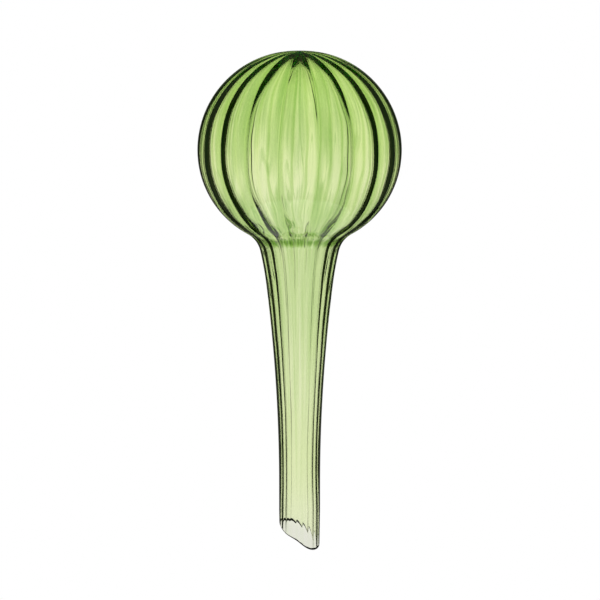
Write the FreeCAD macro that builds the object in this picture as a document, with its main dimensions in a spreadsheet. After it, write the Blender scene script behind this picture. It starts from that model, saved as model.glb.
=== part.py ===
"""Watering globe of ribbed green glass, shown empty.

A round globe holds the water, and its long hollow stem is pushed into the soil of a plant pot.
The stem ends in a slanted mouth, so that flat ground cannot seal it.
The origin is on the axis, level with the lowest point of the mouth. +Z runs up to the crown.
The real thing is blown as one piece of glass. It is divided here, at level seams, into eight
zones: mouth, stem and neck, then the globe's heel, lower and upper belly, shoulder and crown.
"""
import FreeCAD, Part
import math
import os

import Sketcher

os.makedirs("parts", exist_ok=True)
doc = FreeCAD.newDocument("watering_globe")

# Driving dimensions: lengths in millimetres, slant and turn in degrees
SIZES = {
    "neck_height": 133,
    "neck_clearance": 16.3,
    "globe_radius": 51.2,
    "crown_flat": 1.7,
    "heel_inset": 3.5,
    "neck_fillet": 13,
    "neck_sweep": 170,
    "stem_sweep": 800,
    "stem_radius": 10.3,
    "straight_length": 12,
    "tip_taper": 0.35,
    "globe_wall": 2.8,
    "crown_wall": 4.5,
    "stem_wall": 2.3,
    "rib_count": 18,
    "rib_depth": 1.4,
    "mouth_slant": 40,
    "mouth_turn": -45,
    "mouth_collar": 3,
    "lip_round": 0.8,
    "belly_share": 0.45,
    "crown_dimple": 5,
    "cut_overrun": 5,
}
LIP_LIMIT_SHARE = 0.45
RING_TURN = math.radians(10)
FEWEST_RINGS = 3
START, END, CENTRE = range(1, 4)

sheet = doc.addObject("Spreadsheet::Sheet", "Sizes")
for row, (alias, value) in enumerate(SIZES.items(), start=1):
    sheet.set("A%d" % row, alias)
    sheet.set("B%d" % row, str(value))
    sheet.setAlias("B%d" % row, alias)
doc.recompute()


def size(alias):
    """The value of one named cell of the sheet."""
    return float(getattr(sheet, alias))


def lower_meeting(first, first_radius, second, second_radius):
    """The lower of the two points where two circles of the outline's plane meet."""
    step = (second[0] - first[0], second[1] - first[1])
    gap = math.hypot(*step)
    along = (first_radius ** 2 - second_radius ** 2 + gap ** 2) / (2 * gap)
    across = math.sqrt(first_radius ** 2 - along ** 2)
    points = []
    for side in (-1, 1):
        radius = first[0] + (along * step[0] - side * across * step[1]) / gap
        height = first[1] + (along * step[1] + side * across * step[0]) / gap
        points.append((radius, height))
    return min(points, key=lambda point: point[1])


def towards(start, through, distance):
    """The point at a distance from start, on the line from start through another point."""
    reach = math.hypot(through[0] - start[0], through[1] - start[1])
    return tuple(start[i] + (through[i] - start[i]) * distance / reach for i in (0, 1))


def widest_height():
    """Height at which the globe's outside is widest. Its underside would clear the neck line there."""
    return size("neck_height") + size("neck_clearance") + size("globe_radius")


def crown_height():
    """Height of the flattened top of the globe, which is the overall height."""
    return widest_height() + size("globe_radius") - size("crown_flat")


def collar_height():
    """Height of the level seam above the slanted mouth, one collar clear of the mouth's high side."""
    widths = 2 * size("stem_radius") - size("tip_taper")
    return widths * math.tan(math.radians(size("mouth_slant"))) + size("mouth_collar")


def skin_outline(stem_wall, globe_wall, crown_wall):
    """The outline of one skin of the glass, in its radius and height: a chain of tangent arcs.

    The outer skin lies at no depth. The inner skin lies deeper by the walls, so its dome is
    centred a little lower than the outer one, which leaves the crown thicker than the sides.
    """
    widest_radius = size("globe_radius") - globe_wall
    top_height = crown_height() - crown_wall
    shoulder_radius = widest_radius - size("crown_flat")
    shoulder_centre = (size("crown_flat"), top_height - shoulder_radius)
    widest = (widest_radius, shoulder_centre[1])
    heel_inset = size("heel_inset") + crown_wall - globe_wall
    heel_radius = widest_radius - heel_inset
    heel_centre = (heel_inset, widest[1])

    neck_height = size("neck_height")
    stem_foot = (size("stem_radius") - stem_wall, collar_height() + size("straight_length"))
    stem_radius = size("stem_sweep") + stem_wall
    stem_centre = (stem_foot[0] + stem_radius, stem_foot[1])
    stem_reach = math.sqrt(stem_radius ** 2 - (neck_height - stem_foot[1]) ** 2)
    neck_foot = (stem_centre[0] - stem_reach, neck_height)
    neck_radius = size("neck_sweep") + stem_wall
    neck_centre = towards(neck_foot, stem_centre, neck_radius)

    fillet_radius = size("neck_fillet") + stem_wall
    fillet_centre = lower_meeting(heel_centre, heel_radius + fillet_radius,
                                  neck_centre, neck_radius - fillet_radius)
    fillet_foot = towards(neck_centre, fillet_centre, neck_radius)
    heel_foot = towards(heel_centre, fillet_centre, heel_radius)
    return {
        "tip": (stem_foot[0] - size("tip_taper"), 0),
        "collar": (stem_foot[0], collar_height()),
        "stem": {"centre": stem_centre, "radius": stem_radius, "start": stem_foot, "end": neck_foot},
        "neck": {"centre": neck_centre, "radius": neck_radius, "start": neck_foot, "end": fillet_foot},
        "fillet": {"centre": fillet_centre, "radius": fillet_radius, "start": fillet_foot, "end": heel_foot},
        "heel": {"centre": heel_centre, "radius": heel_radius, "start": heel_foot, "end": widest},
        "shoulder": {"centre": shoulder_centre, "radius": shoulder_radius, "start": widest,
                     "end": (shoulder_centre[0], top_height)},
    }


def flat_point(point):
    """A point of the outline as a vector of the sketch."""
    return FreeCAD.Vector(point[0], point[1], 0)


def draw_arc(sketch, arc):
    """Draw one arc of the outline. Gives its index and which of its ends is the lower and the upper."""
    middle = tuple((arc["start"][i] + arc["end"][i]) / 2 for i in (0, 1))
    bulge = towards(arc["centre"], middle, arc["radius"])
    index = sketch.addGeometry(Part.Arc(*[flat_point(point) for point in (arc["start"], bulge, arc["end"])]))
    from_start = sketch.getPoint(index, START).distanceToPoint(flat_point(arc["start"]))
    from_end = sketch.getPoint(index, START).distanceToPoint(flat_point(arc["end"]))
    return (index, START, END) if from_start < from_end else (index, END, START)


def outside_form():
    """The whole outer form without its hollow: one outline, turned about the axis."""
    body = doc.addObject("PartDesign::Body", "outside_form")
    sketch = body.newObject("Sketcher::SketchObject", "outside_outline")
    side_plane = [plane for plane in body.Origin.OriginFeatures if plane.Role == "XZ_Plane"][0]
    sketch.AttachmentSupport = (side_plane, [""])
    sketch.MapMode = "FlatFace"

    skin = skin_outline(0, 0, 0)
    foot_height = -size("cut_overrun")
    top_height = skin["shoulder"]["end"][1]
    corners = [skin["shoulder"]["end"], (0, top_height), (0, foot_height), (skin["tip"][0], foot_height),
               skin["tip"], skin["collar"], skin["stem"]["start"]]
    lines = []
    for start, end in zip(corners, corners[1:]):
        lines.append(sketch.addGeometry(Part.LineSegment(flat_point(start), flat_point(end))))
    crown_flat, axis, foot, tip, taper, straight = lines
    arcs = [draw_arc(sketch, skin[name]) for name in ("stem", "neck", "fillet", "heel", "shoulder")]
    stem, neck, fillet, heel, shoulder = arcs

    def hold(kind, *places):
        sketch.addConstraint(Sketcher.Constraint(kind, *places))

    def drive(expression, kind, *places):
        index = sketch.addConstraint(Sketcher.Constraint(kind, *places))
        sketch.setExpression("Constraints[%d]" % index, expression)

    for line, next_line in zip(lines, lines[1:]):
        hold("Coincident", line, END, next_line, START)
    for line in (axis, tip, straight):
        hold("Vertical", line)
    for line in (crown_flat, foot):
        hold("Horizontal", line)
    hold("PointOnObject", axis, END, -2)
    hold("Tangent", straight, END, stem[0], stem[1])
    for arc, next_arc in zip(arcs, arcs[1:]):
        hold("Tangent", arc[0], arc[2], next_arc[0], next_arc[1])
    hold("Tangent", shoulder[0], shoulder[2], crown_flat, START)
    hold("Horizontal", shoulder[0], CENTRE, shoulder[0], shoulder[1])

    origin = (-1, START)
    tip_expression = "Sizes.stem_radius - Sizes.tip_taper"
    collar_expression = "(2 * Sizes.stem_radius - Sizes.tip_taper) * tan(Sizes.mouth_slant) + Sizes.mouth_collar"
    widest_expression = "Sizes.neck_height + Sizes.neck_clearance + Sizes.globe_radius"
    crown_expression = widest_expression + " + Sizes.globe_radius - Sizes.crown_flat"
    drive("Sizes.cut_overrun", "DistanceY", axis, END, *origin, -foot_height)
    drive(tip_expression, "DistanceX", *origin, tip, END, skin["tip"][0])
    hold("Horizontal", *origin, tip, END)
    drive("Sizes.stem_radius", "DistanceX", *origin, taper, END, skin["collar"][0])
    drive(collar_expression, "DistanceY", *origin, taper, END, skin["collar"][1])
    drive("Sizes.straight_length", "DistanceY", straight, START, straight, END, size("straight_length"))
    drive("Sizes.stem_sweep", "Radius", stem[0], skin["stem"]["radius"])
    drive("Sizes.neck_height", "DistanceY", *origin, stem[0], stem[2], skin["neck"]["start"][1])
    drive("Sizes.neck_sweep", "Radius", neck[0], skin["neck"]["radius"])
    drive("Sizes.neck_fillet", "Radius", fillet[0], skin["fillet"]["radius"])
    drive("Sizes.globe_radius - Sizes.heel_inset", "Radius", heel[0], skin["heel"]["radius"])
    drive("Sizes.globe_radius", "DistanceX", *origin, heel[0], heel[2], skin["heel"]["end"][0])
    drive(widest_expression, "DistanceY", *origin, heel[0], heel[2], skin["heel"]["end"][1])
    drive(crown_expression, "DistanceY", *origin, crown_flat, END, top_height)

    turned = body.newObject("PartDesign::Revolution", "outside_turned")
    turned.Profile = sketch
    turned.ReferenceAxis = (sketch, ["V_Axis"])
    turned.Angle = 360
    doc.recompute()
    print("outline fully held:", sketch.FullyConstrained)
    return body


def levels_along(arc, low_height, high_height):
    """Points of the inner outline along one arc, between two heights and with both its ends.

    Rounding may put the higher end a hair past the arc's top, so its rise is held to the radius.
    """
    centre = arc["centre"]
    side = math.copysign(1, arc["start"][0] - centre[0] or arc["end"][0] - centre[0])
    rises = [min(height - centre[1], arc["radius"]) for height in (low_height, high_height)]
    angles = [math.asin(rise / arc["radius"]) for rise in rises]
    turn = angles[1] - angles[0]
    steps = max(FEWEST_RINGS, math.ceil(abs(turn) / RING_TURN))
    levels = []
    for step in range(steps + 1):
        angle = angles[0] + turn * step / steps
        radius = centre[0] + side * arc["radius"] * math.cos(angle)
        levels.append((radius, centre[1] + arc["radius"] * math.sin(angle)))
    return levels


def lobed_ring(radius, height, rib_depth):
    """One level ring round the hollow: a lobe for each rib, and a ridge between each two lobes."""
    count = round(size("rib_count"))
    lobe = math.tau / count

    def at(reach, angle):
        return FreeCAD.Vector(reach * math.cos(angle), reach * math.sin(angle), height)

    arcs = []
    for index in range(count):
        middle = index * lobe - math.pi / 2
        ridges = [at(radius - rib_depth, middle + side * lobe / 2) for side in (-1, 1)]
        arcs.append(Part.Arc(ridges[0], at(radius, middle), ridges[1]).toShape())
    return Part.Wire(arcs)


def fluted_hollow(name, stretches):
    """The fluted hollow of one zone. Its ribs are as deep a share of its radius at every height."""
    rib_share = size("rib_depth") / (size("globe_radius") - size("globe_wall"))
    lofts = []
    for levels in stretches:
        rings = [lobed_ring(radius, height, rib_share * radius) for radius, height in levels]
        lofts.append(Part.makeLoft(rings, True, len(levels) == 2))
    hollow = doc.addObject("Part::Feature", name + "_hollow")
    hollow.Shape = lofts[0].fuse(lofts[1:]) if len(lofts) > 1 else lofts[0]
    return hollow


def zone(name, form, low_height, high_height, stretches):
    """One zone of the glass: a level slice of the outer form, less its stretch of the hollow."""
    slab = doc.addObject("Part::Cylinder", name + "_slab")
    slab.setExpression("Radius", "Sizes.globe_radius + Sizes.cut_overrun")
    slab.Height = high_height - low_height
    slab.Placement.Base.z = low_height
    form_slice = doc.addObject("Part::Common", name + "_slice")
    form_slice.Base = form
    form_slice.Tool = slab
    wall = doc.addObject("Part::Cut", name + "_wall")
    wall.Base = form_slice
    wall.Tool = fluted_hollow(name, stretches)
    doc.recompute()
    return wall


def rounded_mouth(collar):
    """The slanted mouth: the collar cut off at a slant, its lip melted round inside and outside.

    The cut is placed so that the lowest point of the rounded lip is at height zero.
    """
    slant = math.radians(size("mouth_slant"))
    lip = min(size("lip_round"), LIP_LIMIT_SHARE * size("stem_wall"))
    lip_loss = lip * (1 / math.cos(slant) + math.tan(slant) - 1)
    tip_radius = size("stem_radius") - size("tip_taper")
    middle = FreeCAD.Vector(0, 0, tip_radius * math.tan(slant) - lip_loss)
    tilt = FreeCAD.Rotation(size("mouth_turn"), size("mouth_slant"), 0)

    below = doc.addObject("Part::Box", "below_mouth")
    for side in ("Length", "Width", "Height"):
        below.setExpression(side, "4 * (Sizes.stem_radius + Sizes.cut_overrun)")
    doc.recompute()
    corner = FreeCAD.Vector(-below.Length.Value / 2, -below.Width.Value / 2, -below.Height.Value)
    below.Placement = FreeCAD.Placement(middle + tilt.multVec(corner), tilt)
    cut_collar = doc.addObject("Part::Cut", "cut_collar")
    cut_collar.Base = collar
    cut_collar.Tool = below
    doc.recompute()

    facing = tilt.multVec(FreeCAD.Vector(0, 0, 1))
    rim = []
    for index, edge in enumerate(cut_collar.Shape.Edges, start=1):
        half_way = edge.valueAt((edge.FirstParameter + edge.LastParameter) / 2)
        points = [vertex.Point for vertex in edge.Vertexes] + [half_way]
        if all(math.isclose((point - middle).dot(facing), 0, abs_tol=Part.Precision.confusion())
               for point in points):
            rim.append((index, lip, lip))
    rounded = doc.addObject("Part::Fillet", "rounded_mouth")
    rounded.Base = cut_collar
    rounded.Edges = rim
    return rounded


def watering_globe():
    """All eight zones, from the mouth up. Neighbours meet face to face at level seams."""
    form = outside_form()
    inner = skin_outline(size("stem_wall"), size("globe_wall"), size("crown_wall"))
    mouth_foot = -size("cut_overrun")
    collar = inner["collar"]
    neck_foot = inner["fillet"]["start"][1]
    neck_top = inner["fillet"]["end"][1]
    belly_middle = inner["heel"]["end"][1]
    belly_foot = belly_middle - size("belly_share") * size("globe_radius")
    belly_top = belly_middle + size("belly_share") * size("globe_radius")
    hollow_top = inner["shoulder"]["end"][1]
    crown_foot = hollow_top - size("crown_dimple")
    crown_top = crown_height() + size("cut_overrun")

    tip_bore = [(inner["tip"][0], mouth_foot), inner["tip"]]
    mouth_bores = [tip_bore, [inner["tip"], collar]]
    stem_bores = [
        [collar, inner["stem"]["start"]],
        levels_along(inner["stem"], inner["stem"]["start"][1], inner["stem"]["end"][1]),
        levels_along(inner["neck"], inner["neck"]["start"][1], neck_foot),
    ]
    neck_bores = [levels_along(inner["fillet"], neck_foot, neck_top)]
    heel_hollows = [levels_along(inner["heel"], neck_top, belly_foot)]
    lower_hollows = [levels_along(inner["heel"], belly_foot, belly_middle)]
    upper_hollows = [levels_along(inner["shoulder"], belly_middle, belly_top)]
    shoulder_hollows = [levels_along(inner["shoulder"], belly_top, crown_foot)]
    crown_hollows = [levels_along(inner["shoulder"], crown_foot, hollow_top)]
    return {
        "mouth": rounded_mouth(zone("mouth", form, mouth_foot, collar[1], mouth_bores)),
        "stem": zone("stem", form, collar[1], neck_foot, stem_bores),
        "neck": zone("neck", form, neck_foot, neck_top, neck_bores),
        "heel": zone("heel", form, neck_top, belly_foot, heel_hollows),
        "lower_belly": zone("lower_belly", form, belly_foot, belly_middle, lower_hollows),
        "upper_belly": zone("upper_belly", form, belly_middle, belly_top, upper_hollows),
        "shoulder": zone("shoulder", form, belly_top, crown_foot, shoulder_hollows),
        "crown": zone("crown", form, crown_foot, crown_top, crown_hollows),
    }


pieces = watering_globe()
for label, piece in pieces.items():
    piece.Label = label
doc.recompute()

for item in doc.Objects:
    if "Invalid" in item.State or "Error" in item.State:
        raise RuntimeError("%s could not be built" % item.Name)
for label, piece in pieces.items():
    if piece.Shape.isNull() or not piece.Shape.isValid() or len(piece.Shape.Solids) != 1:
        raise RuntimeError("%s is not one sound solid" % label)
for label, piece in pieces.items():
    piece.Shape.exportStep("parts/%s.step" % label)
    print("%s: %.1f cubic centimetres" % (label, piece.Shape.Volume / 1000))
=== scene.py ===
# %% [markdown]
# # A watering globe of ribbed green glass
#
# On the real object this is one piece of hand-blown glass: a round globe that holds the water, a
# neck, and a long hollow stem whose slanted mouth goes into the soil of a plant pot. The CAD model
# holds it as eight zones. Glass shows every seam inside it, so the lesson makes one unbroken piece
# that takes the place of all eight, inside the same box.

# %% Load the frame
import math
import random

import bpy
import numpy as np
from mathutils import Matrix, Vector


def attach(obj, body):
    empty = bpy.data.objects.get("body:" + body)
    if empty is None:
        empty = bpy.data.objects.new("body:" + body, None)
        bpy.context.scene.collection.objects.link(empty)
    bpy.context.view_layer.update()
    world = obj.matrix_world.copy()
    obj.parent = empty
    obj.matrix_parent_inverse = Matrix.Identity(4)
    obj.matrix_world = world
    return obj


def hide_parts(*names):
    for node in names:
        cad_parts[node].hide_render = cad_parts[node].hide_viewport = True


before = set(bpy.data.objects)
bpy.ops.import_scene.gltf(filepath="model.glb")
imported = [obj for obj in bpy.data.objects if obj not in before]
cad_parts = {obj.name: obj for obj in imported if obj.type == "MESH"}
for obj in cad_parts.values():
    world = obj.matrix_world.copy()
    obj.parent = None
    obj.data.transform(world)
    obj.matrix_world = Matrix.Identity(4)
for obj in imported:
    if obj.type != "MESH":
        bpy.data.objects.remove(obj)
bpy.context.view_layer.update()

# %% [markdown]
# ## The wall in section
#
# A glass worker gathers molten glass, presses it into a ribbed mould, blows it round and draws the
# stem out. Cut the result through its axis, and the wall is a band between two smooth lines, each a
# chain of arcs that meet without a corner: stem, neck, fillet, heel and shoulder. The inner line
# follows the outer one at the wall's depth, and the wall is thickest at the crown. Working both
# lines out from the same few sizes keeps the wall true all the way along.

# %% The sizes of the globe, in metres
GLOBE_RADIUS = 0.0512
NECK_HEIGHT = 0.133
NECK_CLEARANCE = 0.0163
CROWN_FLAT = 0.0017
HEEL_INSET = 0.0035
NECK_FILLET = 0.013
NECK_SWEEP = 0.170
STEM_SWEEP = 0.800
STEM_RADIUS = 0.0103
STRAIGHT_LENGTH = 0.012
TIP_TAPER = 0.00035
MOUTH_COLLAR = 0.003
MOUTH_SLANT = math.radians(40)
MOUTH_TURN = math.radians(-45)
GLOBE_WALL, CROWN_WALL, STEM_WALL = 0.0028, 0.0045, 0.0023
CUT_OVERRUN = 0.005
MM = 1000
print("globe", round(2 * GLOBE_RADIUS * MM, 1), "mm across")
print("stem", round(2 * STEM_RADIUS * MM, 1), "mm thick at the mouth")

# %% [markdown]
# Three small helpers work out the arcs: a step along a line, the place where two circles meet, and
# the points along an arc. With them each skin is a short list of arcs and no point is typed in.
# Points lie at most two millimetres apart on most arcs, further apart on the nearly straight stem
# and closer together in the tight fillet.

# %% Help with arcs
ARC_SPACING, STEM_SPACING, FILLET_SPACING = 0.002, 0.006, 0.0012


def towards(start, through, distance):
    """The point at a distance from start, on the line through another point."""
    reach = math.dist(start, through)
    return tuple(a + (b - a) * distance / reach for a, b in zip(start, through))


def lower_meeting(first, first_radius, second, second_radius):
    """The lower of the two points where two circles meet."""
    gap = math.dist(first, second)
    along = (first_radius ** 2 - second_radius ** 2 + gap ** 2) / (2 * gap)
    across = math.sqrt(first_radius ** 2 - along ** 2)
    foot = towards(first, second, along)
    step = ((second[0] - first[0]) / gap, (second[1] - first[1]) / gap)
    points = [(foot[0] - side * across * step[1], foot[1] + side * across * step[0]) for side in (-1, 1)]
    return min(points, key=lambda point: point[1])


def arc_points(centre, radius, start, end, spacing):
    """Points along an arc from its start to its end, the start left out."""
    angles = [math.atan2(point[1] - centre[1], point[0] - centre[0]) for point in (start, end)]
    turn = math.remainder(angles[1] - angles[0], math.tau)
    count = max(2, math.ceil(abs(turn) * radius / spacing))
    points = []
    for step in range(1, count + 1):
        angle = angles[0] + turn * step / count
        points.append((centre[0] + radius * math.cos(angle), centre[1] + radius * math.sin(angle)))
    return points


quarter = arc_points((0, 0), STEM_RADIUS, (STEM_RADIUS, 0), (0, STEM_RADIUS), ARC_SPACING)
print("a quarter of the stem's circle takes", len(quarter), "points")

# %% [markdown]
# Now the skins. The inner one is the same chain of arcs with every wall taken off, so it stays at an
# even depth under the outer one. Both start a little below the mouth, where the cut will pass.

# %% The two lines of the wall, from the mouth up to the axis
def skin_line(stem_wall, globe_wall, crown_wall):
    """One skin of the glass as points of radius and height."""
    widest_radius = GLOBE_RADIUS - globe_wall
    crown_height = NECK_HEIGHT + NECK_CLEARANCE + 2 * GLOBE_RADIUS - CROWN_FLAT - crown_wall
    shoulder_radius = widest_radius - CROWN_FLAT
    widest = (widest_radius, crown_height - shoulder_radius)
    heel_centre = (HEEL_INSET + crown_wall - globe_wall, widest[1])
    heel_radius = widest_radius - heel_centre[0]

    collar = (2 * STEM_RADIUS - TIP_TAPER) * math.tan(MOUTH_SLANT) + MOUTH_COLLAR
    foot = (STEM_RADIUS - stem_wall, collar + STRAIGHT_LENGTH)
    stem_radius = STEM_SWEEP + stem_wall
    stem_centre = (foot[0] + stem_radius, foot[1])
    stem_reach = math.sqrt(stem_radius ** 2 - (NECK_HEIGHT - foot[1]) ** 2)
    neck_foot = (stem_centre[0] - stem_reach, NECK_HEIGHT)
    neck_radius = NECK_SWEEP + stem_wall
    neck_centre = towards(neck_foot, stem_centre, neck_radius)
    fillet_radius = NECK_FILLET + stem_wall
    fillet_centre = lower_meeting(heel_centre, heel_radius + fillet_radius,
                                  neck_centre, neck_radius - fillet_radius)
    fillet_foot = towards(neck_centre, fillet_centre, neck_radius)
    heel_foot = towards(heel_centre, fillet_centre, heel_radius)

    line = [(foot[0] - TIP_TAPER * (1 + CUT_OVERRUN / collar), -CUT_OVERRUN), (foot[0], collar), foot]
    line += arc_points(stem_centre, stem_radius, foot, neck_foot, STEM_SPACING)
    line += arc_points(neck_centre, neck_radius, neck_foot, fillet_foot, ARC_SPACING)
    line += arc_points(fillet_centre, fillet_radius, fillet_foot, heel_foot, FILLET_SPACING)
    line += arc_points(heel_centre, heel_radius, heel_foot, widest, ARC_SPACING)
    shoulder_centre = (CROWN_FLAT, widest[1])
    line += arc_points(shoulder_centre, shoulder_radius, widest, (CROWN_FLAT, crown_height), ARC_SPACING)
    return line + [(0.0, crown_height)]


outer_line = skin_line(0.0, 0.0, 0.0)
inner_line = skin_line(STEM_WALL, GLOBE_WALL, CROWN_WALL)
print("outer line", len(outer_line), "points, inner line", len(inner_line), "points")

# %% [markdown]
# ## Turning the wall
#
# The section is drawn as one open line, a point extruded from place to place: down the outer skin
# from the crown to below the mouth, across the wall, and up the inner skin. Modelling the outside
# and cutting a hollow out of it is the other way, but a boolean leaves long thin faces, and glass
# bends light so strongly that they would show. Each skin gets a vertex group of its own, because
# the ribs and waves that follow move the two skins differently.

# %% Draw the section
START_SIZE = 0.001


def select_only(piece):
    """Make one piece the only selected and active one."""
    bpy.ops.object.select_all(action="DESELECT")
    piece.select_set(True)
    bpy.context.view_layer.objects.active = piece


def draw_line(name, points):
    """A mesh of one open line through points of radius and height. A small plane is merged to start it."""
    bpy.ops.object.select_all(action="DESELECT")
    bpy.ops.mesh.primitive_plane_add(size=START_SIZE, location=(0, 0, 0))
    piece = bpy.context.active_object
    piece.name = piece.data.name = name
    bpy.ops.object.mode_set(mode="EDIT")
    bpy.ops.mesh.select_all(action="SELECT")
    bpy.ops.mesh.merge(type="CENTER")
    bpy.ops.transform.translate(value=(points[0][0], 0, points[0][1]))
    for here, there in zip(points, points[1:]):
        step = (there[0] - here[0], 0, there[1] - here[1])
        bpy.ops.mesh.extrude_region_move(TRANSFORM_OT_translate={"value": step})
    bpy.ops.object.mode_set(mode="OBJECT")
    return piece


glass = draw_line("glass", list(reversed(outer_line)) + inner_line)
outer_count = len(outer_line)
for group_name, indices in (("outer skin", range(outer_count)),
                            ("inner skin", range(outer_count, len(glass.data.vertices)))):
    glass.vertex_groups.new(name=group_name).add(list(indices), 1.0, "REPLACE")
print("section drawn with", len(glass.data.vertices), "points")

# %% [markdown]
# The spin operator turns the section about the axis, as a lathe would. Sixteen steps for each of the
# eighteen ribs leave a meridian exactly on every rib. The seam and the poles are then merged, so
# that the wall is closed and light finds no gap in it.

# %% Spin it about the axis
RIBS = 18
STEPS_PER_RIB = 16
MERGE_DISTANCE = 1e-6

bpy.ops.object.mode_set(mode="EDIT")
bpy.ops.mesh.select_all(action="SELECT")
bpy.ops.mesh.spin(steps=RIBS * STEPS_PER_RIB, angle=math.tau, center=(0, 0, 0), axis=(0, 0, 1))
bpy.ops.mesh.select_all(action="SELECT")
bpy.ops.mesh.remove_doubles(threshold=MERGE_DISTANCE)
bpy.ops.mesh.normals_make_consistent(inside=False)
bpy.ops.object.mode_set(mode="OBJECT")
print("turned wall:", len(glass.data.vertices), "vertices,", len(glass.data.polygons), "faces")

# %% [markdown]
# ## The ribs
#
# The mould presses its ribs into the hot glass. Blowing smooths the outside again, so on the real
# globe the ribs stand mostly on the inside: wide shallow lobes with a ridge between each two. First
# come helpers that read and write all the points of a mesh as one array.

# %% Help with points
def places(piece):
    """All the points of a piece's mesh as an array."""
    flat = np.empty(len(piece.data.vertices) * 3)
    piece.data.vertices.foreach_get("co", flat)
    return flat.reshape(-1, 3)


def set_places(piece, points):
    """Give a piece's mesh new points."""
    piece.data.vertices.foreach_set("co", points.astype(np.float32).ravel())
    piece.data.update()


def in_group(piece, name):
    """Which points belong to a vertex group, as an array of true and false."""
    index = piece.vertex_groups[name].index
    return np.array([any(group.group == index for group in vertex.groups) for vertex in piece.data.vertices])


print("the outer skin has", int((~in_group(glass, "inner skin")).sum()), "points")

# %% [markdown]
# A weight between zero and one says how near each point is to a ridge. It follows a cosine, so a
# lobe is round and a ridge is sharp, as they are after blowing. The ridges are low in the drawn-out
# stem, grow through the neck and the heel, are full at the belly, and die away towards the crown,
# where they run together.

# %% Weigh the ridges
STEM_RIDGE_SHARE = 0.13
RIBS_START, RIBS_FULL = 0.080, 0.195
FADE_RADIUS = 0.042
FADE_FROM, FADE_FULL = 0.188, 0.208
LOBE_TURN = math.tau / RIBS


def ridge_weight(points):
    """Zero on the crest of a lobe and one on the ridge between two lobes, less towards stem and crown."""
    angle = np.arctan2(points[:, 1], points[:, 0]) + math.pi / 2
    across = np.abs((angle / LOBE_TURN + 0.5) % 1.0 - 0.5) * 2
    radius = np.hypot(points[:, 0], points[:, 1])
    growing = np.clip((points[:, 2] - RIBS_START) / (RIBS_FULL - RIBS_START), 0, 1) ** 2
    zone_share = STEM_RIDGE_SHARE + (1 - STEM_RIDGE_SHARE) * growing
    near_crown = np.clip((points[:, 2] - FADE_FROM) / (FADE_FULL - FADE_FROM), 0, 1)
    faded = np.clip(radius / FADE_RADIUS, 0, 1)
    crown_share = 1 - near_crown * (1 - faded)
    return (1 - np.cos(across * math.pi / 2)) * zone_share * crown_share


weights = ridge_weight(places(glass))
inner = in_group(glass, "inner skin")
print("ridge weights reach", round(float(weights.max()), 3))

# %% [markdown]
# The Displace modifier lifts a skin along its normals by those weights: high ridges inside, and the
# faint grooves that are left of them outside. Sculpting each rib would take longer and come out
# less even.

# %% Lift the ridges
RIDGE_HEIGHT = 0.0016
GROOVE_DEPTH = 0.0002


def displace(piece, name, group, strength, texture=None):
    """Push a vertex group in or out along the normals, by its weight and by an optional texture."""
    select_only(piece)
    modifier = piece.modifiers.new(name, "DISPLACE")
    modifier.vertex_group = group
    modifier.strength = strength
    modifier.mid_level = 0.5 if texture else 0.0
    modifier.direction = "NORMAL"
    if texture:
        modifier.texture = texture
        modifier.texture_coords = "LOCAL"
    bpy.ops.object.modifier_apply(modifier=name)


for group_name, mask in (("inner ridges", inner), ("outer grooves", ~inner)):
    group = glass.vertex_groups.new(name=group_name)
    for index in np.flatnonzero(mask & (weights > 0)):
        group.add([int(index)], float(weights[index]), "REPLACE")
displace(glass, "Lift ridges", "inner ridges", RIDGE_HEIGHT)
displace(glass, "Press grooves", "outer grooves", -GROOVE_DEPTH)
print("ridges lifted on", int((inner & (weights > 0)).sum()), "points")

# %% [markdown]
# ## The wall at the mouth
#
# Drawing a stem out makes its wall thinner and thinner, down to about a millimetre at the mouth. A
# thin lip also shows as a fine dark line and a thick one as a black band, and the photo has the fine
# line. So the inner skin is moved outwards, by an amount that rises smoothly towards the mouth. The
# radius is held above a least value, so that nothing is divided by zero on the axis.

# %% Thin the wall towards the mouth
LIP_THINNER = 0.0011
THIN_REACH = 0.038
LEAST_RADIUS = 0.001

points = places(glass)
rise = np.clip(points[:, 2] / THIN_REACH, 0, 1)
thinning = LIP_THINNER * (1 - rise * rise * (3 - 2 * rise)) * inner
radius = np.maximum(np.hypot(points[:, 0], points[:, 1]), LEAST_RADIUS)
points[:, :2] *= (1 + thinning / radius)[:, None]
set_places(glass, points)
print("wall thinner by up to", round(float(thinning.max()) * MM, 2), "mm")

# %% [markdown]
# ## The breath in the glass
#
# No two ribs of blown glass are quite alike: they drift a degree or two to one side. The drift turns
# each level of the inner skin about the axis by a sum of slow waves, with a stronger twist at the
# neck, where the hot glass was held and turned. The seed keeps the waves the same each time. The
# photo also shows the front ribs a few degrees wider apart than even ones would be, and more so
# near the crown, so a wave of two periods round the axis spreads the ribs in front and behind.

# %% Let the ribs drift
DRIFT_SEED = 7
DRIFT = math.radians(1.6)
NECK_DRIFT = math.radians(2.5)
TWIST_HEIGHT, TWIST_REACH = 0.170, 0.012
SPREAD, CROWN_SPREAD = math.radians(2.8), math.radians(3.2)
SPREAD_FROM, SPREAD_FULL = 0.200, 0.234
SPREAD_PERIODS = 2

random.seed(DRIFT_SEED)
drift_waves = [(around, random.uniform(20, 60), random.uniform(0, math.tau)) for around in (1, 2, 3, 5)]
neck_waves = [(around, random.uniform(80, 140), random.uniform(0, math.tau)) for around in (2, 3, 4)]


def wave_sum(waves, angle, height):
    """The mean of some slow waves that run round the axis and climb it."""
    return sum(np.sin(around * angle + climb * height + phase) for around, climb, phase in waves) / len(waves)


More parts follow.
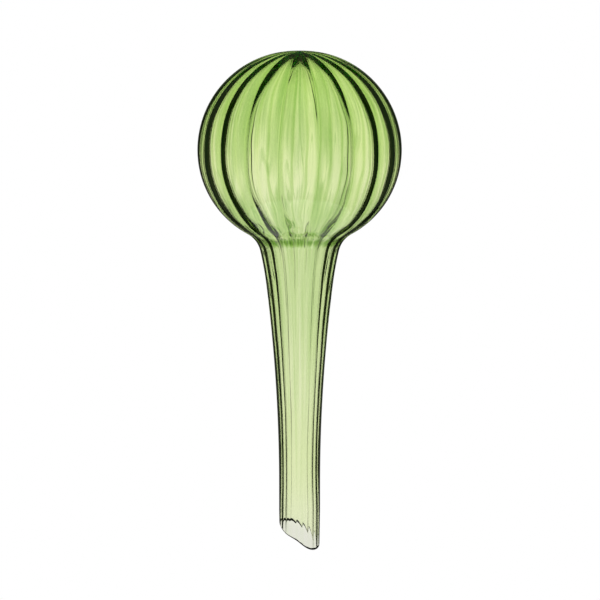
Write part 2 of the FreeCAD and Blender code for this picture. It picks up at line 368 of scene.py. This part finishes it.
points = places(glass)
angle = np.arctan2(points[:, 1], points[:, 0])
near_neck = np.exp(-((points[:, 2] - TWIST_HEIGHT) / TWIST_REACH) ** 2)
turn = DRIFT * wave_sum(drift_waves, angle, points[:, 2])
turn += NECK_DRIFT * near_neck * wave_sum(neck_waves, angle, points[:, 2])
crown_part = np.clip((points[:, 2] - SPREAD_FROM) / (SPREAD_FULL - SPREAD_FROM), 0, 1)
globe_part = np.clip((points[:, 2] - RIBS_START) / (RIBS_FULL - RIBS_START), 0, 1)
turn -= (SPREAD * globe_part + CROWN_SPREAD * crown_part) * np.sin(SPREAD_PERIODS * angle)
turn *= inner
turned = points.copy()
turned[:, 0] = points[:, 0] * np.cos(turn) - points[:, 1] * np.sin(turn)
turned[:, 1] = points[:, 0] * np.sin(turn) + points[:, 1] * np.cos(turn)
set_places(glass, turned)
print("ribs drift up to", round(math.degrees(float(np.abs(turn).max())), 2), "degrees")

# %% [markdown]
# The wall also swells and thins in slow waves a couple of centimetres wide. A soft cloud texture on
# a Displace modifier gives that, less than half a millimetre either way.

# %% Swell the wall
SWELL = 0.0008
SWELL_SIZE = 0.022


def add_clouds(name, size):
    """A soft cloud texture with blobs of a size."""
    clouds = bpy.data.textures.new(name, "CLOUDS")
    clouds.noise_scale = size
    clouds.noise_depth = 1
    return clouds


displace(glass, "Swell the wall", "inner skin", SWELL, add_clouds("swell of the wall", SWELL_SIZE))
print("the wall swells by up to", round(SWELL / 2 * MM, 2), "mm")

# %% [markdown]
# At the heel, just above the neck, the ribs were squeezed together while the glass was soft, and
# the photo shows a band of wavy figures there. A second, tighter cloud moves only that band.

# %% Wave the heel
WAVES = 0.0010
WAVES_SIZE = 0.012
WAVES_HEIGHT, WAVES_REACH = 0.162, 0.011
LEAST_SHARE = 0.02

heel_share = np.exp(-((places(glass)[:, 2] - WAVES_HEIGHT) / WAVES_REACH) ** 2) * inner
heel_waves = glass.vertex_groups.new(name="heel waves")
for index in np.flatnonzero(heel_share > LEAST_SHARE):
    heel_waves.add([int(index)], float(heel_share[index]), "REPLACE")
displace(glass, "Wave the heel", "heel waves", WAVES, add_clouds("waves at the heel", WAVES_SIZE))
print("the heel waves on", int((heel_share > LEAST_SHARE).sum()), "points")

# %% [markdown]
# ## The slanted mouth
#
# The worker cracks the stem off at a slant and melts the cut edge round in the flame. Bisect cuts
# the tube with a slanted plane, and bridge closes the wall between the two cut rings. The stretch
# below the collar has no rings of its own, so the bevel that follows has room to roll.

# %% Cut the mouth
LIP_LOSS = 0.00012
PLANE_REACH = 2e-6

facing = Vector((math.cos(MOUTH_TURN) * math.sin(MOUTH_SLANT), math.sin(MOUTH_TURN) * math.sin(MOUTH_SLANT),
                 math.cos(MOUTH_SLANT)))
tip_radius = STEM_RADIUS - TIP_TAPER
mouth_middle = Vector((0, 0, tip_radius * math.tan(MOUTH_SLANT) - LIP_LOSS))


def select_rings(piece, point, normal):
    """Select the edges of the two rings where a plane cuts the wall, and none that cross the lip."""
    bpy.ops.object.mode_set(mode="OBJECT")
    mesh = piece.data
    on_plane = np.abs((places(piece) - np.array(point)) @ np.array(normal)) < PLANE_REACH
    lip_faces = {}
    for face in mesh.polygons:
        if on_plane[list(face.vertices)].all():
            for key in face.edge_keys:
                lip_faces[key] = lip_faces.get(key, 0) + 1
    for item in (mesh.vertices, mesh.edges, mesh.polygons):
        item.foreach_set("select", [False] * len(item))
    for edge in mesh.edges:
        edge.select = bool(on_plane[list(edge.vertices)].all() and lip_faces.get(edge.key, 0) < 2)
    bpy.ops.object.mode_set(mode="EDIT")


select_only(glass)
bpy.ops.object.mode_set(mode="EDIT")
bpy.ops.mesh.select_mode(type="EDGE")
bpy.ops.mesh.select_all(action="SELECT")
bpy.ops.mesh.bisect(plane_co=mouth_middle, plane_no=facing, clear_inner=True, use_fill=False)
select_rings(glass, mouth_middle, facing)
bpy.ops.mesh.bridge_edge_loops()
bpy.ops.object.mode_set(mode="OBJECT")
print("mouth cut:", len(glass.data.vertices), "vertices left")

# %% [markdown]
# A bevel of five steps on both rings melts the lip. It is done after the bridge, because a bevel
# needs faces on both sides of its edges.

# %% Melt its lip
LIP_ROUND = 0.0003
LIP_STEPS = 5
SMOOTH_ANGLE = math.radians(50)

select_rings(glass, mouth_middle, facing)
bpy.ops.mesh.bevel(offset=LIP_ROUND, segments=LIP_STEPS, profile=0.5, affect="EDGES", clamp_overlap=False)
bpy.ops.mesh.select_all(action="SELECT")
bpy.ops.mesh.remove_doubles(threshold=MERGE_DISTANCE)
bpy.ops.mesh.normals_make_consistent(inside=False)
bpy.ops.object.mode_set(mode="OBJECT")
bpy.ops.object.shade_smooth_by_angle(angle=SMOOTH_ANGLE)
print("lowest point of the lip:", round(float(places(glass)[:, 2].min()) * MM, 3), "mm")

# %% [markdown]
# ## The sagging lip
#
# The flame softens the lip, and it sags a little out of its plane: the near side draws up into a
# shallow hollow and the high back side settles. Each point near the mouth is shifted up or down by
# a smooth bump that depends on its place round the axis and dies away up the stem.

# %% Let the lip sag
LIP_HOLLOW, HOLLOW_AT, HOLLOW_SPREAD = 0.0017, math.radians(-100), math.radians(28)
LIP_SETTLE, SETTLE_AT, SETTLE_SPREAD = 0.0016, math.radians(130), math.radians(70)
SAG_REACH = 0.016


def bump(angle, middle, spread):
    """A smooth bump round the axis, one at its middle."""
    off = (angle - middle + math.pi) % math.tau - math.pi
    return np.exp(-(off / spread) ** 2)


points = places(glass)
angle = np.arctan2(points[:, 1], points[:, 0])
above_cut = (points - np.array(mouth_middle)) @ np.array(facing)
fading = np.clip(1 - above_cut / SAG_REACH, 0, 1) ** 2
sag = LIP_HOLLOW * bump(angle, HOLLOW_AT, HOLLOW_SPREAD)
sag -= LIP_SETTLE * bump(angle, SETTLE_AT, SETTLE_SPREAD)
sag *= fading
points[:, 2] += sag
set_places(glass, points)
print("lip sags from", round(float(sag.min()) * MM, 2), "to", round(float(sag.max()) * MM, 2), "mm")

# %% [markdown]
# ## The glass
#
# Bottle-green glass takes its colour from iron all through it, so thick places are darker. The
# volume of the material absorbs light along its way, which gives that depth by itself, and the
# surface bends and mirrors light. Painting the dark edges on would look wrong from any other
# side. The colour and the density are the same everywhere, so they are set on the shader itself.

# %% Green glass
ABSORPTION = (0.714, 0.943, 0.071, 1)
ABSORPTION_DENSITY = 102
GLASS_IOR = 1.5


def add_node(tree, kind, **sockets):
    """A node with some of its sockets set."""
    node = tree.nodes.new(kind)
    for name, value in sockets.items():
        node.inputs[name.replace("_", " ")].default_value = value
    return node


green_glass = bpy.data.materials.new("green bottle glass")
green_glass.use_nodes = True
tree = green_glass.node_tree
tree.nodes.clear()
output = tree.nodes.new("ShaderNodeOutputMaterial")
surface = add_node(tree, "ShaderNodeBsdfGlass", Roughness=0.0, IOR=GLASS_IOR)
inside = add_node(tree, "ShaderNodeVolumeAbsorption", Color=ABSORPTION, Density=ABSORPTION_DENSITY)
tree.links.new(surface.outputs["BSDF"], output.inputs["Surface"])
tree.links.new(inside.outputs["Volume"], output.inputs["Volume"])
glass.data.materials.append(green_glass)
half_way = math.log(2) / ABSORPTION_DENSITY / (1 - ABSORPTION[0])
print("light loses half its red in", round(half_way * MM, 1), "mm of this glass")

# %% [markdown]
# The tint of the surface varies with height and with streaks, and it also carries painted light and
# shade, which takes many small sums. Three helpers keep them readable: a sum of numbers, a smooth
# ramp between two heights, and a mixture of two colours.

# %% Help with nodes
def sums(tree, operation, *values, clamp=False):
    """A math node on numbers or on outputs of other nodes. Gives its output."""
    node = tree.nodes.new("ShaderNodeMath")
    node.operation = operation
    node.use_clamp = clamp
    for socket, value in zip(node.inputs, values):
        if hasattr(value, "is_linked"):
            tree.links.new(value, socket)
        else:
            socket.default_value = value
    return node.outputs[0]


def ramp(tree, value, low, high, top):
    """Rises smoothly from zero to a top value, or falls to zero when low is the higher end."""
    node = tree.nodes.new("ShaderNodeMapRange")
    node.interpolation_type = "SMOOTHSTEP"
    ends = (low, high, 0.0, top) if low < high else (high, low, top, 0.0)
    for name, number in zip(("From Min", "From Max", "To Min", "To Max"), ends):
        node.inputs[name].default_value = number
    tree.links.new(value, node.inputs["Value"])
    return node.outputs[0]


def tinted(tree, share, first, second):
    """A colour between two others. Each is a colour or an output."""
    node = tree.nodes.new("ShaderNodeMix")
    node.data_type = "RGBA"
    tree.links.new(share, node.inputs["Factor"])
    for name, colour in (("A", first), ("B", second)):
        socket = [item for item in node.inputs if item.name == name and item.type == "RGBA"][0]
        if hasattr(colour, "is_linked"):
            tree.links.new(colour, socket)
        else:
            socket.default_value = colour
    return [item for item in node.outputs if item.type == "RGBA"][0]


print("helpers ready, the tree has", len(tree.nodes), "nodes")

# %% [markdown]
# Hot glass is never mixed quite evenly, and the blowing draws its streaks out along the ribs. A
# noise looks drawn out when it hardly changes with height. Its coordinates here are the direction
# from the axis, which is the same all the way up a rib, and a small share of the height.

# %% Coordinates that follow the ribs
CLIMB = 2.2
GLOBE_FROM, GLOBE_FULL = 0.150, 0.180

place = tree.nodes.new("ShaderNodeTexCoord")
axes = tree.nodes.new("ShaderNodeSeparateXYZ")
tree.links.new(place.outputs["Object"], axes.inputs[0])
height = axes.outputs["Z"]
flat_place = tree.nodes.new("ShaderNodeCombineXYZ")
tree.links.new(axes.outputs["X"], flat_place.inputs["X"])
tree.links.new(axes.outputs["Y"], flat_place.inputs["Y"])
around = tree.nodes.new("ShaderNodeVectorMath")
around.operation = "NORMALIZE"
tree.links.new(flat_place.outputs[0], around.inputs[0])
climb = tree.nodes.new("ShaderNodeCombineXYZ")
tree.links.new(sums(tree, "MULTIPLY", height, CLIMB), climb.inputs["Z"])
stretched = tree.nodes.new("ShaderNodeVectorMath")
stretched.operation = "ADD"
tree.links.new(around.outputs[0], stretched.inputs[0])
tree.links.new(climb.outputs[0], stretched.inputs[1])
in_globe = ramp(tree, height, GLOBE_FROM, GLOBE_FULL, 1.0)
climbed = CLIMB * 2 * GLOBE_RADIUS
print("the noise moves", round(climbed, 2), "up the globe and", round(math.tau, 2), "round it")

# %% [markdown]
# Two noises share the work: one gives the broad light and dark bands of the photo, and a finer one
# gives the threads. The swing is stronger in the globe than in the stem.

# %% Streaks and threads
STREAK_SWING, STREAK_MORE = 0.30, 0.34


def stretched_noise(scale, detail, roughness, gain, offset, clamp=False):
    """A noise along the ribs, multiplied and shifted. Gives its output."""
    noise = add_node(tree, "ShaderNodeTexNoise", Scale=scale, Detail=detail, Roughness=roughness)
    tree.links.new(stretched.outputs[0], noise.inputs["Vector"])
    return sums(tree, "MULTIPLY_ADD", noise.outputs["Fac"], gain, offset, clamp=clamp)


streaks = stretched_noise(scale=4.2, detail=3.0, roughness=0.56, gain=6.6, offset=-3.3)
threads = stretched_noise(scale=13.0, detail=4.0, roughness=0.6, gain=2.8, offset=-1.4)
swing_share = sums(tree, "MULTIPLY_ADD", in_globe, STREAK_MORE, STREAK_SWING)
streak_and_painted_light_depth = sums(tree, "MULTIPLY", sums(tree, "ADD", streaks, threads), swing_share)
print("streaks and threads use", len(tree.nodes), "nodes so far")

# %% [markdown]
# The photo also has hairlines in the globe, fine dark lines that run down and turn back in long
# loops. The level lines of a slow noise have just that shape, so a hairline is drawn wherever the
# noise crosses one of seven levels.

# %% Hairlines
LEVELS = 7.0
HAIR_EDGE, HAIR_CORE, HAIR_DEPTH = 0.06, 0.02, 0.90

slow = stretched_noise(scale=3.0, detail=1.0, roughness=0.5, gain=LEVELS, offset=0.0)
level = sums(tree, "FRACT", slow)
off_level = sums(tree, "ABSOLUTE", sums(tree, "SUBTRACT", level, 0.5))
hairs = ramp(tree, off_level, HAIR_EDGE, HAIR_CORE, HAIR_DEPTH)
streak_and_painted_light_depth = sums(tree, "MULTIPLY_ADD", hairs, in_globe, streak_and_painted_light_depth)
print("hairlines on", int(LEVELS), "levels")

# %% [markdown]
# A ridge is thicker glass, so the photo shows it as a soft darker band between two lobes. The volume
# gives only part of that, because a ridge also bends the light round itself. The rest is painted
# shade: a little more tint on the ridges brings the bands out. The bearing round the axis says where
# they are, once the spread of the ribs is taken back out of it.

# %% Painted shade on the ridges
RIDGE_SHADE = 1.0
BAND_EDGE, BAND_CORE = 0.36, 0.49

bearing = sums(tree, "ARCTAN2", axes.outputs["Y"], axes.outputs["X"])
spread_wave = sums(tree, "SINE", sums(tree, "MULTIPLY", bearing, SPREAD_PERIODS))
bearing = sums(tree, "MULTIPLY_ADD", spread_wave, SPREAD, bearing)
lobe = sums(tree, "FRACT", sums(tree, "MULTIPLY_ADD", bearing, 1 / LOBE_TURN, RIBS / 4 + 0.5))
off_lobe = sums(tree, "ABSOLUTE", sums(tree, "SUBTRACT", lobe, 0.5))
# Painted shade: a darker tint on each ridge, for the light that the ridge bends away.
bands = ramp(tree, off_lobe, BAND_EDGE, BAND_CORE, RIDGE_SHADE)
streak_and_painted_light_depth = sums(tree, "MULTIPLY_ADD", bands, in_globe, streak_and_painted_light_depth)
print("bands on", RIBS, "ridges")

# %% [markdown]
# Low in the globe the photo shows bright tongues with darker gaps between them, about one to a
# lobe, as if the round end of a lobe gathered the light. They are painted: painted light on the
# tongues and painted shade in the gaps. A tongue is drawn where a sum stays small that grows
# downwards, and also from the middle of a lobe to the ridges beside it.

# %% Painted light and shade in the lower globe
LOW_FROM, LOW_FULL = 0.206, 0.184
TONGUE_TOP, TONGUE_END = 0.196, 0.170
TONGUE_EDGE, TONGUE_SOFT = 0.95, 0.30
TONGUE_LIGHT, GAP_SHADE = 0.38, 0.24
RIDGE_OFFSET = 0.5

widening = sums(tree, "MULTIPLY", sums(tree, "MULTIPLY", off_lobe, off_lobe), 1 / RIDGE_OFFSET ** 2)
closing = ramp(tree, height, TONGUE_TOP, TONGUE_END, 1.0)
wander = stretched_noise(scale=3.4, detail=1.0, roughness=0.5, gain=0.8, offset=-0.4)
tongue = sums(tree, "ADD", sums(tree, "ADD", widening, closing), wander)
low_globe = sums(tree, "MULTIPLY", ramp(tree, height, LOW_FROM, LOW_FULL, 1.0), in_globe)
within = ramp(tree, tongue, TONGUE_EDGE, TONGUE_EDGE - TONGUE_SOFT, 1.0)
# Painted light on each tongue and painted shade in the gaps between them.
tongue_light_and_gap_shade = sums(tree, "MULTIPLY_ADD", within, -TONGUE_LIGHT - GAP_SHADE, GAP_SHADE)
streak_and_painted_light_depth = sums(tree, "MULTIPLY_ADD", tongue_light_and_gap_shade, low_globe, streak_and_painted_light_depth)
print("a tongue in each of", RIBS, "lobes")

# %% [markdown]
# Where the glass was gathered at the crown it is greener, where it settled above the neck too, and
# the stem grows paler the further it was drawn. Each of these zones is a ramp in height, and their
# sum chooses between a pale and a deep tint. At the low side of the mouth only the near wall is in
# sight, and the photo shows it greyish there, so that zone is a ramp across a slanted plane. Its edge
# is wide and soft, because a sharp one would show as a line from other sides.

# %% Where the tint is deeper
STEM_TINT = (0.995, 0.992, 0.962, 1)
TIP_TINT = (0.930, 0.918, 0.915, 1)
GLOBE_TINT = (1.0, 1.0, 0.952, 1)
DEEP_TINT = (0.84, 0.90, 0.76, 1)
GATHERED_FROM, GATHERED_FULL, GATHERED_DEPTH = 0.176, 0.232, 0.50
SETTLED_FROM, SETTLED_FULL, SETTLED_DEPTH = 0.186, 0.165, 0.46
DRAWN_FROM, DRAWN_FULL, DRAWN_DEPTH = 0.040, 0.145, 0.45
LIP_SOFT = 0.0035

gathered = ramp(tree, height, GATHERED_FROM, GATHERED_FULL, GATHERED_DEPTH)
settled = sums(tree, "MULTIPLY", ramp(tree, height, SETTLED_FROM, SETTLED_FULL, SETTLED_DEPTH), in_globe)
drawn = ramp(tree, height, DRAWN_FROM, DRAWN_FULL, DRAWN_DEPTH)
drawn = sums(tree, "MULTIPLY", drawn, sums(tree, "SUBTRACT", 1.0, in_globe))
zones = sums(tree, "ADD", sums(tree, "ADD", gathered, settled), drawn)
depth = sums(tree, "ADD", zones, streak_and_painted_light_depth, clamp=True)
sideways = sums(tree, "ADD", axes.outputs["X"], axes.outputs["Y"])
low_side = sums(tree, "MULTIPLY_ADD", sideways, math.tan(MOUTH_SLANT) * math.sqrt(0.5), height)
one_wall = ramp(tree, low_side, mouth_middle.z + LIP_SOFT, mouth_middle.z - LIP_SOFT, 1.0)
pale_tint = tinted(tree, in_globe, tinted(tree, one_wall, STEM_TINT, TIP_TINT), GLOBE_TINT)
body_tint = tinted(tree, depth, pale_tint, DEEP_TINT)
print("zones of tint: crown, heel, stem and lip")

# %% [markdown]
# Where the globe turns into the neck, the wall curves inwards, and the photo shows a dark broken
# band there. It is painted shade: a narrow ring round the axis, broken up by a noise.

# %% Painted shade where the globe meets the neck
NECK_SHADE_HEIGHT = 0.1555
NECK_SHADE_REACH, NECK_SHADE_CORE = 0.0034, 0.0002
NECK_SHADE_TINT = (0.50, 0.65, 0.31, 1)

off_neck_shade = sums(tree, "ABSOLUTE", sums(tree, "SUBTRACT", height, NECK_SHADE_HEIGHT))
neck_shade = ramp(tree, off_neck_shade, NECK_SHADE_REACH, NECK_SHADE_CORE, 1.0)
patches = stretched_noise(scale=9.0, detail=3.0, roughness=0.6, gain=5.0, offset=-1.9, clamp=True)
# Painted shade: a darker broken ring in the turn from globe to neck.
neck_shaded_tint = tinted(tree, sums(tree, "MULTIPLY", neck_shade, patches), body_tint, NECK_SHADE_TINT)
tree.links.new(neck_shaded_tint, surface.inputs["Color"])
print("glass material has", len(tree.nodes), "nodes")

# %% [markdown]
# ## Placing the piece
#
# The whole globe is one rigid body, so the piece rides on the root and takes the place of all eight
# zones of the CAD model.

# %% Place the finished piece
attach(glass, "root")
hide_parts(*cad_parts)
print("one piece in place of", len(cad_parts), "zones")

# %% [markdown]
# ## The studio
#
# Clear glass shows its surroundings more than itself. Photographers light it from behind with
# bright panels and keep the rest of the room dark, so that the glass glows and its edges turn dark.
# The camera, and all that lights the pale floor, see plain white. Only the rays that went through
# the glass or were mirrored in it see the panels.

# %% The room
world = bpy.data.worlds.new("studio")
bpy.context.scene.world = world
world.use_nodes = True
tree = world.node_tree
tree.nodes.clear()
output = tree.nodes.new("ShaderNodeOutputWorld")
backdrop = add_node(tree, "ShaderNodeBackground", Color=(1, 1, 1, 1))
tree.links.new(backdrop.outputs[0], output.inputs["Surface"])
rays = tree.nodes.new("ShaderNodeLightPath")
plain = sums(tree, "MAXIMUM", rays.outputs["Is Camera Ray"], rays.outputs["Is Diffuse Ray"])
print("plain white for camera and floor")

# %% [markdown]
# Eight tall white panels stand round the globe with a narrow dark gap between each two, so that it
# looks much the same from all sides. The gaps are what the ribs and the outline show as dark lines:
# wider gaps give thicker lines.

# %% Eight white panels
PANELS = 8
PANEL_HALF = math.radians(19)
PANEL_TOP = math.radians(70)
PANEL_SOFT = math.radians(2.5)


def soft_band(value, half):
    """One within a half width, falling softly to zero past it."""
    return sums(tree, "MULTIPLY_ADD", sums(tree, "ABSOLUTE", value), -1 / PANEL_SOFT, half / PANEL_SOFT + 0.5,
                clamp=True)


direction = tree.nodes.new("ShaderNodeTexCoord")
axes = tree.nodes.new("ShaderNodeSeparateXYZ")
tree.links.new(direction.outputs["Generated"], axes.inputs[0])
compass = sums(tree, "ARCTAN2", axes.outputs["X"], axes.outputs["Y"])
elevation = sums(tree, "ARCSINE", axes.outputs["Z"])
nearest = sums(tree, "FRACT", sums(tree, "MULTIPLY_ADD", compass, PANELS / math.tau, 0.5))
off_panel = sums(tree, "MULTIPLY", sums(tree, "SUBTRACT", nearest, 0.5), math.tau / PANELS)
panels = sums(tree, "MULTIPLY", soft_band(off_panel, PANEL_HALF), soft_band(elevation, PANEL_TOP))
print(PANELS, "panels with gaps of", round(360 / PANELS - 2 * math.degrees(PANEL_HALF), 1), "degrees")

# %% [markdown]
# The photo has no bright mirror images on the glass, as if it was lit from behind only. So a ray
# that has been mirrored sees the panels from their dim side. The dark of the gaps isn't quite black
# either, so that the dark lines keep a touch of green.

# %% Dim the mirror images
DIM_SHARE = 0.04
DARK_ROOM = 0.012

mirrored = sums(tree, "GREATER_THAN", rays.outputs["Glossy Depth"], 0.5)
dimming = sums(tree, "MULTIPLY_ADD", mirrored, DIM_SHARE - 1, 1)
room = sums(tree, "MULTIPLY", sums(tree, "MAXIMUM", panels, DARK_ROOM), dimming)
tree.links.new(sums(tree, "MAXIMUM", room, plain), backdrop.inputs["Strength"])
print("the studio has", len(tree.nodes), "nodes")

# %% [markdown]
# The camera stands three metres away, a little above the globe, with a long lens, as a catalogue
# photographer would set it. Near, the stem would look too big for the globe.

# %% Camera
CAMERA_DISTANCE = 3.0
CAMERA_ELEVATION = math.radians(5)
FRAME_WIDTH = 0.3004
SENSOR = 36
VIEW_END = 50

aim = Vector((0.0002, 0, 0.1252))
back = Vector((0, -math.cos(CAMERA_ELEVATION), math.sin(CAMERA_ELEVATION)))
camera = bpy.data.objects.new("camera", bpy.data.cameras.new("camera"))
bpy.context.scene.collection.objects.link(camera)
bpy.context.scene.camera = camera
camera.location = aim + back * CAMERA_DISTANCE
camera.rotation_euler = (-back).to_track_quat("-Z", "Y").to_euler()
camera.data.sensor_width = SENSOR
camera.data.lens = SENSOR * CAMERA_DISTANCE / FRAME_WIDTH
camera.data.clip_end = VIEW_END
print("lens", round(camera.data.lens), "mm")

# %% [markdown]
# The photo shows the globe on plain white, with no floor in sight. A round white table top lies
# below the frame, so it shows only from above.

# %% Floor
FLOOR_HEIGHT = -0.07
FLOOR_RADIUS = 0.2
FLOOR_CORNERS = 128

bpy.ops.object.select_all(action="DESELECT")
bpy.ops.mesh.primitive_circle_add(vertices=FLOOR_CORNERS, radius=FLOOR_RADIUS, fill_type="NGON",
                                  location=(0, 0, FLOOR_HEIGHT))
floor = bpy.context.active_object
floor.name = "floor"
floor_paint = bpy.data.materials.new("white floor")
floor_paint.use_nodes = True
floor_shader = floor_paint.node_tree.nodes["Principled BSDF"]
floor_shader.inputs["Base Color"].default_value = (1.0, 1.0, 1.0, 1)
floor_shader.inputs["Roughness"].default_value = 1.0
floor_shader.inputs["Specular IOR Level"].default_value = 0.0
floor.data.materials.append(floor_paint)
print("floor", round(2 * FLOOR_RADIUS * MM), "mm across")

# %% [markdown]
# A ray through the globe crosses two walls, so four skins, and can be mirrored many times between
# them. With too few bounces it stops inside the glass and leaves a black spot, so the limits are
# raised.

# %% Colours and bounces
BOUNCES = 32

scene = bpy.context.scene
scene.view_settings.view_transform = "Standard"
for limit in ("max_bounces", "transmission_bounces", "glossy_bounces"):
    setattr(scene.cycles, limit, BOUNCES)
print("up to", BOUNCES, "bounces")

# %% [markdown]
# ## Updating the scene
#
# Last, the view layer is updated once more.

bpy.context.view_layer.update()
